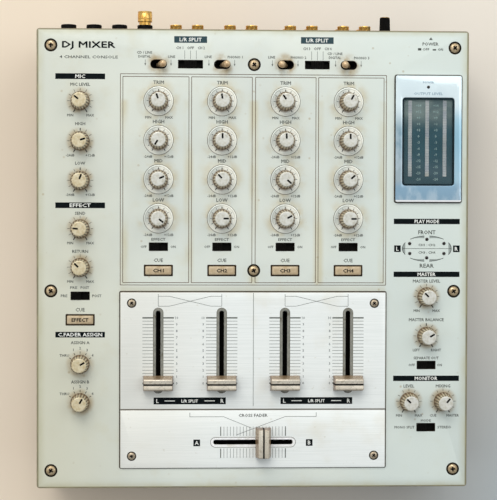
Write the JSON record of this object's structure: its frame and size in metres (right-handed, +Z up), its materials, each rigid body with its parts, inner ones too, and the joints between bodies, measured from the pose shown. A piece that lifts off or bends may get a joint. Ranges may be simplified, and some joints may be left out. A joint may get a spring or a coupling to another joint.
{
  "type": "dj mixer",
  "caption": "Free-standing DJ mixer with rows of rotary controls, channel faders, a crossfader, a level meter and rear connectors.",
  "frame": {"origin": "centre of the whole object, rear connectors included, on the bench surface under the feet", "axes": "+X to the operator's right, +Y towards the rear connectors, +Z up through the top panel"},
  "size_m": [0.33, 0.3684, 0.1065],
  "materials": {
    "panel_paint": "satin silver-grey paint, stained and worn",
    "chassis_paint": "satin dark grey powder coat",
    "brushed_plate": "brushed",
    "bezel_metal": "polished",
    "smoked_window": "gloss, smoked",
    "circuit_board": "satin",
    "black_plastic": "matte",
    "knob_plastic": "satin, aged",
    "cap_plastic": "gloss, aged",
    "button_plastic": "satin, aged",
    "toggle_brass": "worn plated",
    "screw_steel": "tarnished",
    "dial_disc": "satin, dished",
    "legend_ink": "matte print",
    "header_ink": "matte print",
    "white_ink": "matte print",
    "gold_contact": "polished",
    "rubber_foot": "matte",
    "meter_led": "frosted, unlit"
  },
  "bodies": {
    "root": {"chassis": "chassis_paint", "top_panel": "panel_paint", "channel_fader_plate": "brushed_plate", "crossfader_plate": "brushed_plate", "meter_bezel": "bezel_metal", "meter_window": "smoked_window", "control_board": "circuit_board", "jack_board": "circuit_board", "power_module": "black_plastic"},
    "knob_ch1_trim": {"knob_ch1_trim": "knob_plastic"},
    "knob_ch2_trim": {"knob_ch2_trim": "knob_plastic"},
    "knob_ch3_trim": {"knob_ch3_trim": "knob_plastic"},
    "knob_ch4_trim": {"knob_ch4_trim": "knob_plastic"},
    "knob_ch1_high": {"knob_ch1_high": "knob_plastic"},
    "knob_ch2_high": {"knob_ch2_high": "knob_plastic"},
    "knob_ch3_high": {"knob_ch3_high": "knob_plastic"},
    "knob_ch4_high": {"knob_ch4_high": "knob_plastic"},
    "knob_ch1_mid": {"knob_ch1_mid": "knob_plastic"},
    "knob_ch2_mid": {"knob_ch2_mid": "knob_plastic"},
    "knob_ch3_mid": {"knob_ch3_mid": "knob_plastic"},
    "knob_ch4_mid": {"knob_ch4_mid": "knob_plastic"},
    "knob_ch1_low": {"knob_ch1_low": "knob_plastic"},
    "knob_ch2_low": {"knob_ch2_low": "knob_plastic"},
    "knob_ch3_low": {"knob_ch3_low": "knob_plastic"},
    "knob_ch4_low": {"knob_ch4_low": "knob_plastic"},
    "knob_mic_level": {"knob_mic_level": "knob_plastic"},
    "knob_mic_high": {"knob_mic_high": "knob_plastic"},
    "knob_mic_low": {"knob_mic_low": "knob_plastic"},
    "knob_effect_send": {"knob_effect_send": "knob_plastic"},
    "knob_effect_return": {"knob_effect_return": "knob_plastic"},
    "knob_assign_a": {"knob_assign_a": "knob_plastic"},
    "knob_assign_b": {"knob_assign_b": "knob_plastic"},
    "knob_master_level": {"knob_master_level": "knob_plastic"},
    "knob_master_balance": {"knob_master_balance": "knob_plastic"},
    "knob_monitor_level": {"knob_monitor_level": "knob_plastic"},
    "knob_monitor_mixing": {"knob_monitor_mixing": "knob_plastic"},
    "fader_ch1": {"fader_ch1": "cap_plastic"},
    "fader_ch2": {"fader_ch2": "cap_plastic"},
    "fader_ch3": {"fader_ch3": "cap_plastic"},
    "fader_ch4": {"fader_ch4": "cap_plastic"},
    "crossfader": {"crossfader": "cap_plastic"},
    "switch_effect_ch1": {"switch_effect_ch1": "black_plastic"},
    "switch_effect_ch2": {"switch_effect_ch2": "black_plastic"},
    "switch_effect_ch3": {"switch_effect_ch3": "black_plastic"},
    "switch_effect_ch4": {"switch_effect_ch4": "black_plastic"},
    "switch_pre_post": {"switch_pre_post": "black_plastic"},
    "switch_separate_out": {"switch_separate_out": "black_plastic"},
    "switch_monitor_mode": {"switch_monitor_mode": "black_plastic"},
    "switch_split_left": {"switch_split_left": "black_plastic"},
    "switch_split_right": {"switch_split_right": "black_plastic"},
    "cue_ch1": {"cue_ch1": "button_plastic"},
    "cue_ch2": {"cue_ch2": "button_plastic"},
    "cue_ch3": {"cue_ch3": "button_plastic"},
    "cue_ch4": {"cue_ch4": "button_plastic"},
    "cue_effect": {"cue_effect": "button_plastic"},
    "toggle_ch1": {"toggle_ch1": "toggle_brass"},
    "toggle_ch2": {"toggle_ch2": "toggle_brass"},
    "toggle_ch3": {"toggle_ch3": "toggle_brass"},
    "toggle_ch4": {"toggle_ch4": "toggle_brass"},
    "power_button": {"power_button": "black_plastic"}
  },
  "joints": [
    {"name": "turn_ch1_trim", "type": "hinge", "parent": "root", "child": "knob_ch1_trim", "pos_m": [-0.0726, 0.11115, 0.094], "axis": [0, 0, 1], "range_deg": [-168, 132]},
    {"name": "turn_ch2_trim", "type": "hinge", "parent": "root", "child": "knob_ch2_trim", "pos_m": [-0.0242, 0.11115, 0.094], "axis": [0, 0, 1], "range_deg": [-158, 142]},
    {"name": "turn_ch3_trim", "type": "hinge", "parent": "root", "child": "knob_ch3_trim", "pos_m": [0.0242, 0.11115, 0.094], "axis": [0, 0, 1], "range_deg": [-184, 116]},
    {"name": "turn_ch4_trim", "type": "hinge", "parent": "root", "child": "knob_ch4_trim", "pos_m": [0.0726, 0.11115, 0.094], "axis": [0, 0, 1], "range_deg": [-120, 180]},
    {"name": "turn_ch1_high", "type": "hinge", "parent": "root", "child": "knob_ch1_high", "pos_m": [-0.0726, 0.08135, 0.094], "axis": [0, 0, 1], "range_deg": [-298, 2]},
    {"name": "turn_ch2_high", "type": "hinge", "parent": "root", "child": "knob_ch2_high", "pos_m": [-0.0242, 0.08135, 0.094], "axis": [0, 0, 1], "range_deg": [-150, 150]},
    {"name": "turn_ch3_high", "type": "hinge", "parent": "root", "child": "knob_ch3_high", "pos_m": [0.0242, 0.08135, 0.094], "axis": [0, 0, 1], "range_deg": [-150, 150]},
    {"name": "turn_ch4_high", "type": "hinge", "parent": "root", "child": "knob_ch4_high", "pos_m": [0.0726, 0.08135, 0.094], "axis": [0, 0, 1], "range_deg": [-150, 150]},
    {"name": "turn_ch1_mid", "type": "hinge", "parent": "root", "child": "knob_ch1_mid", "pos_m": [-0.0726, 0.05155, 0.094], "axis": [0, 0, 1], "range_deg": [-83, 217]},
    {"name": "turn_ch2_mid", "type": "hinge", "parent": "root", "child": "knob_ch2_mid", "pos_m": [-0.0242, 0.05155, 0.094], "axis": [0, 0, 1], "range_deg": [-192, 108]},
    {"name": "turn_ch3_mid", "type": "hinge", "parent": "root", "child": "knob_ch3_mid", "pos_m": [0.0242, 0.05155, 0.094], "axis": [0, 0, 1], "range_deg": [-19, 281]},
    {"name": "turn_ch4_mid", "type": "hinge", "parent": "root", "child": "knob_ch4_mid", "pos_m": [0.0726, 0.05155, 0.094], "axis": [0, 0, 1], "range_deg": [-101, 199]},
    {"name": "turn_ch1_low", "type": "hinge", "parent": "root", "child": "knob_ch1_low", "pos_m": [-0.0726, 0.02175, 0.094], "axis": [0, 0, 1], "range_deg": [-22, 278]},
    {"name": "turn_ch2_low", "type": "hinge", "parent": "root", "child": "knob_ch2_low", "pos_m": [-0.0242, 0.02175, 0.094], "axis": [0, 0, 1], "range_deg": [-60, 240]},
    {"name": "turn_ch3_low", "type": "hinge", "parent": "root", "child": "knob_ch3_low", "pos_m": [0.0242, 0.02175, 0.094], "axis": [0, 0, 1], "range_deg": [-88, 212]},
    {"name": "turn_ch4_low", "type": "hinge", "parent": "root", "child": "knob_ch4_low", "pos_m": [0.0726, 0.02175, 0.094], "axis": [0, 0, 1], "range_deg": [-60, 240]},
    {"name": "turn_mic_level", "type": "hinge", "parent": "root", "child": "knob_mic_level", "pos_m": [-0.132, 0.11075, 0.094], "axis": [0, 0, 1], "range_deg": [-201, 99]},
    {"name": "turn_mic_high", "type": "hinge", "parent": "root", "child": "knob_mic_high", "pos_m": [-0.132, 0.08035, 0.094], "axis": [0, 0, 1], "range_deg": [-76, 224]},
    {"name": "turn_mic_low", "type": "hinge", "parent": "root", "child": "knob_mic_low", "pos_m": [-0.132, 0.05035, 0.094], "axis": [0, 0, 1], "range_deg": [-129, 171]},
    {"name": "turn_effect_send", "type": "hinge", "parent": "root", "child": "knob_effect_send", "pos_m": [-0.132, 0.01365, 0.094], "axis": [0, 0, 1], "range_deg": [-235, 65]},
    {"name": "turn_effect_return", "type": "hinge", "parent": "root", "child": "knob_effect_return", "pos_m": [-0.132, -0.01565, 0.094], "axis": [0, 0, 1], "range_deg": [-195, 105]},
    {"name": "turn_assign_a", "type": "hinge", "parent": "root", "child": "knob_assign_a", "pos_m": [-0.132, -0.08935, 0.094], "axis": [0, 0, 1], "range_deg": [0, 120]},
    {"name": "turn_assign_b", "type": "hinge", "parent": "root", "child": "knob_assign_b", "pos_m": [-0.132, -0.11865, 0.094], "axis": [0, 0, 1], "range_deg": [-30, 90]},
    {"name": "turn_master_level", "type": "hinge", "parent": "root", "child": "knob_master_level", "pos_m": [0.1332, -0.03785, 0.094], "axis": [0, 0, 1], "range_deg": [-195, 105]},
    {"name": "turn_master_balance", "type": "hinge", "parent": "root", "child": "knob_master_balance", "pos_m": [0.1332, -0.06815, 0.094], "axis": [0, 0, 1], "range_deg": [-91, 209]},
    {"name": "turn_monitor_level", "type": "hinge", "parent": "root", "child": "knob_monitor_level", "pos_m": [0.12, -0.11855, 0.094], "axis": [0, 0, 1], "range_deg": [-196, 104]},
    {"name": "turn_monitor_mixing", "type": "hinge", "parent": "root", "child": "knob_monitor_mixing", "pos_m": [0.1464, -0.11855, 0.094], "axis": [0, 0, 1], "range_deg": [-110, 190]},
    {"name": "slide_fader_ch1", "type": "slide", "parent": "root", "child": "fader_ch1", "axis": [0, 1, 0], "range_m": [0, 0.05]},
    {"name": "slide_fader_ch2", "type": "slide", "parent": "root", "child": "fader_ch2", "axis": [0, 1, 0], "range_m": [0, 0.05]},
    {"name": "slide_fader_ch3", "type": "slide", "parent": "root", "child": "fader_ch3", "axis": [0, 1, 0], "range_m": [0, 0.05]},
    {"name": "slide_fader_ch4", "type": "slide", "parent": "root", "child": "fader_ch4", "axis": [0, 1, 0], "range_m": [0, 0.05]},
    {"name": "slide_crossfader", "type": "slide", "parent": "root", "child": "crossfader", "axis": [1, 0, 0], "range_m": [-0.0327, 0.0173]},
    {"name": "slide_switch_effect_ch1", "type": "slide", "parent": "root", "child": "switch_effect_ch1", "axis": [1, 0, 0], "range_m": [0, 0.0065]},
    {"name": "slide_switch_effect_ch2", "type": "slide", "parent": "root", "child": "switch_effect_ch2", "axis": [1, 0, 0], "range_m": [0, 0.0065]},
    {"name": "slide_switch_effect_ch3", "type": "slide", "parent": "root", "child": "switch_effect_ch3", "axis": [1, 0, 0], "range_m": [0, 0.0065]},
    {"name": "slide_switch_effect_ch4", "type": "slide", "parent": "root", "child": "switch_effect_ch4", "axis": [1, 0, 0], "range_m": [0, 0.0065]},
    {"name": "slide_switch_pre_post", "type": "slide", "parent": "root", "child": "switch_pre_post", "axis": [1, 0, 0], "range_m": [0, 0.0065]},
    {"name": "slide_switch_separate_out", "type": "slide", "parent": "root", "child": "switch_separate_out", "axis": [1, 0, 0], "range_m": [0, 0.0065]},
    {"name": "slide_switch_monitor_mode", "type": "slide", "parent": "root", "child": "switch_monitor_mode", "axis": [1, 0, 0], "range_m": [0, 0.0065]},
    {"name": "slide_switch_split_left", "type": "slide", "parent": "root", "child": "switch_split_left", "axis": [1, 0, 0], "range_m": [-0.00435, 0.00435]},
    {"name": "slide_switch_split_right", "type": "slide", "parent": "root", "child": "switch_split_right", "axis": [1, 0, 0], "range_m": [-0.00435, 0.00435]},
    {"name": "press_cue_ch1", "type": "slide", "parent": "root", "child": "cue_ch1", "axis": [0, 0, 1], "range_m": [-0.001, 0], "stiffness_N_per_m": 600, "springref_m": 0.0006},
    {"name": "press_cue_ch2", "type": "slide", "parent": "root", "child": "cue_ch2", "axis": [0, 0, 1], "range_m": [-0.001, 0], "stiffness_N_per_m": 600, "springref_m": 0.0006},
    {"name": "press_cue_ch3", "type": "slide", "parent": "root", "child": "cue_ch3", "axis": [0, 0, 1], "range_m": [-0.001, 0], "stiffness_N_per_m": 600, "springref_m": 0.0006},
    {"name": "press_cue_ch4", "type": "slide", "parent": "root", "child": "cue_ch4", "axis": [0, 0, 1], "range_m": [-0.001, 0], "stiffness_N_per_m": 600, "springref_m": 0.0006},
    {"name": "press_cue_effect", "type": "slide", "parent": "root", "child": "cue_effect", "axis": [0, 0, 1], "range_m": [-0.001, 0], "stiffness_N_per_m": 600, "springref_m": 0.0006},
    {"name": "tilt_toggle_ch1", "type": "hinge", "parent": "root", "child": "toggle_ch1", "pos_m": [-0.0726, 0.13915, 0.085], "axis": [0, 1, 0], "range_deg": [-30, 0]},
    {"name": "tilt_toggle_ch2", "type": "hinge", "parent": "root", "child": "toggle_ch2", "pos_m": [-0.0242, 0.13915, 0.085], "axis": [0, 1, 0], "range_deg": [-30, 0]},
    {"name": "tilt_toggle_ch3", "type": "hinge", "parent": "root", "child": "toggle_ch3", "pos_m": [0.0242, 0.13915, 0.085], "axis": [0, 1, 0], "range_deg": [0, 30]},
    {"name": "tilt_toggle_ch4", "type": "hinge", "parent": "root", "child": "toggle_ch4", "pos_m": [0.0726, 0.13915, 0.085], "axis": [0, 1, 0], "range_deg": [0, 30]},
    {"name": "press_power_button", "type": "slide", "parent": "root", "child": "power_button", "axis": [0, 1, 0], "range_m": [-0.003, 0], "stiffness_N_per_m": 400, "springref_m": 0.0015}
  ]
}
